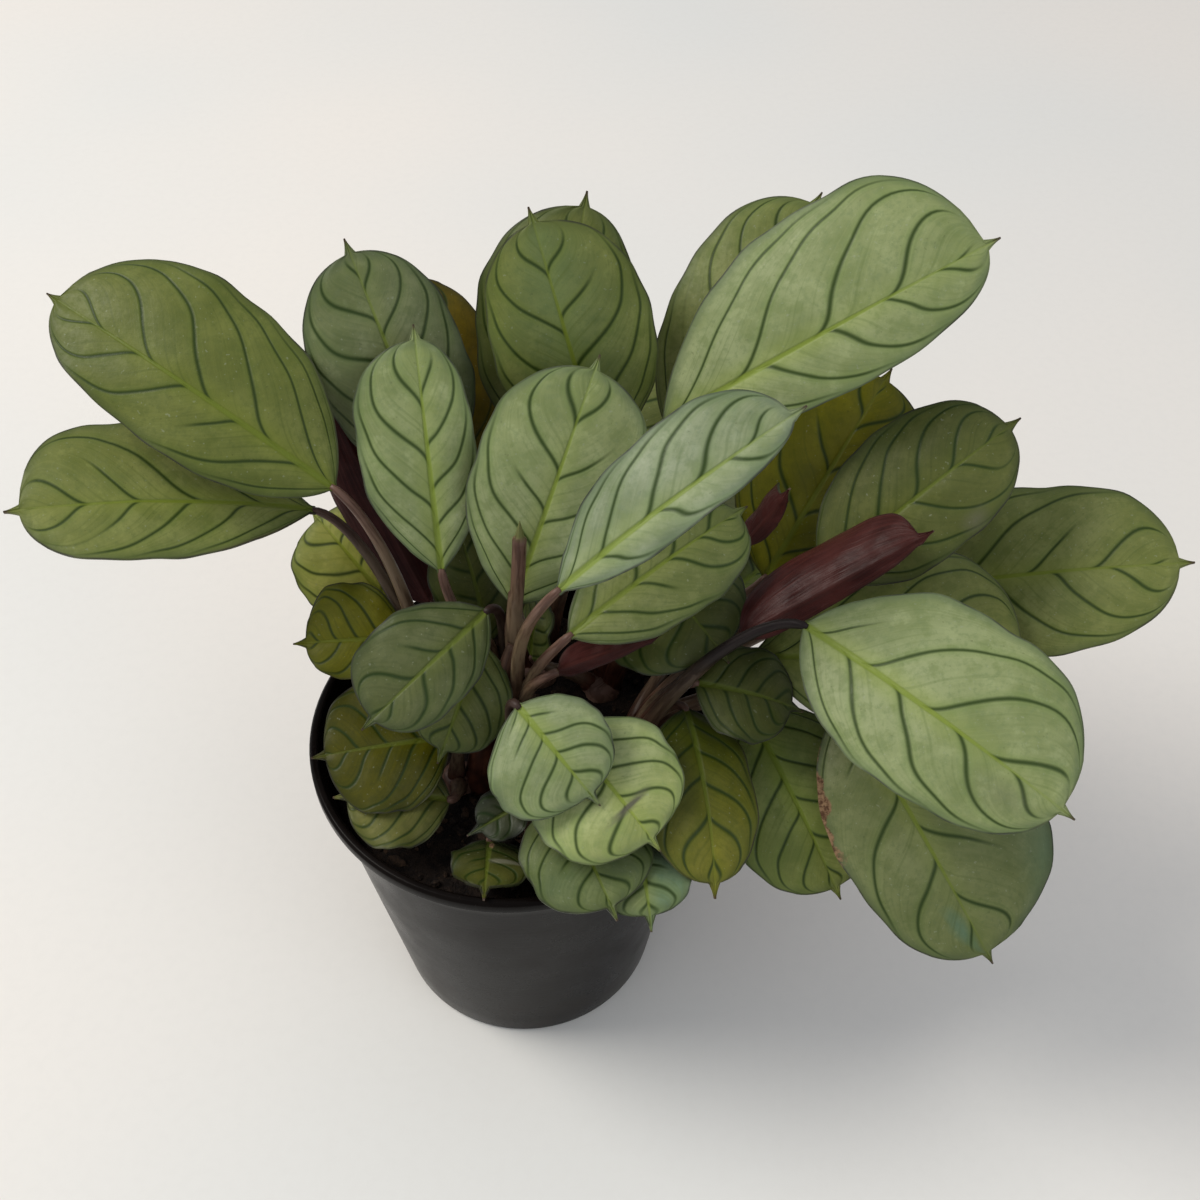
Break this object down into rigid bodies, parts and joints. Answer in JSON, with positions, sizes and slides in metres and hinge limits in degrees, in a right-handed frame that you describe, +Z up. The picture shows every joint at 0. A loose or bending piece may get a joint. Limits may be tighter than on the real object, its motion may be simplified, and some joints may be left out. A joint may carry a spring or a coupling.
{
  "type": "potted prayer plant",
  "caption": "Low leafy prayer plant with oval patterned leaves on short arching stalks, growing from soil in a plain round tapered plastic nursery pot.",
  "frame": {"origin": "middle of the pot's flat base, on the surface that it stands on", "axes": "+Z up along the pot's axis; -Y towards the front, the side the picture shows; +X to the right of that view, where the longest leaves reach"},
  "size_m": [0.2822, 0.1675, 0.2182],
  "materials": {
    "pot_plastic": "smooth thin dark grey plastic, soft sheen",
    "soil": "crumbly damp dark potting soil",
    "stem": "satin red-brown leaf stalks",
    "leaf_green": "satin grey-green blade with dark feathered veins and a yellow-green midrib, purple beneath",
    "leaf_purple": "satin purple back of a rolled young leaf"
  },
  "bodies": {
    "root": {"pot": "pot_plastic", "soil": "soil", "stems_a": "stem", "stems_b": "stem", "stems_c": "stem", "stems_d": "stem", "stems_e": "stem", "stems_f": "stem", "stems_g": "stem", "stems_h": "stem", "leaf_left_high": "leaf_green", "leaf_left_low": "leaf_green", "leaf_back_left": "leaf_green", "leaf_back_left_olive": "leaf_green", "leaf_centre_left": "leaf_green", "leaf_back_top": "leaf_green", "leaf_back_centre": "leaf_green", "leaf_centre_big": "leaf_green", "leaf_centre_diagonal": "leaf_green", "leaf_under_diagonal": "leaf_green", "leaf_dark_mid": "leaf_green", "leaf_top_right_back": "leaf_green", "leaf_top_right_big": "leaf_green", "leaf_right_olive": "leaf_green", "leaf_right_upper": "leaf_green", "leaf_right_far": "leaf_green", "leaf_right_big": "leaf_green", "leaf_right_under": "leaf_green", "leaf_low_right_inner": "leaf_green", "leaf_low_right_big": "leaf_green", "leaf_low_centre": "leaf_green", "leaf_front_round_a": "leaf_green", "leaf_front_round_b": "leaf_green", "leaf_front_low_c": "leaf_green", "leaf_front_low_d": "leaf_green", "leaf_front_left_e": "leaf_green", "leaf_left_olive": "leaf_green", "leaf_left_yellow": "leaf_green", "leaf_left_front_f": "leaf_green", "leaf_left_front_g": "leaf_green", "leaf_grey_inner": "leaf_green", "leaf_small_dark": "leaf_green", "leaf_torn_small": "leaf_green", "leaf_back_low_left": "leaf_green", "leaf_back_low_mid": "leaf_green", "leaf_back_low_right": "leaf_green", "leaf_back_mid_left": "leaf_green", "leaf_back_mid_right": "leaf_green", "leaf_back_side_right": "leaf_green", "leaf_inner_right": "leaf_green", "leaf_inner_left": "leaf_green", "leaf_inner_upright": "leaf_green", "leaf_left_rolled": "leaf_purple", "leaf_purple_rolled": "leaf_purple", "leaf_purple_low": "leaf_purple", "leaf_purple_small": "leaf_purple"}
  },
  "joints": []
}
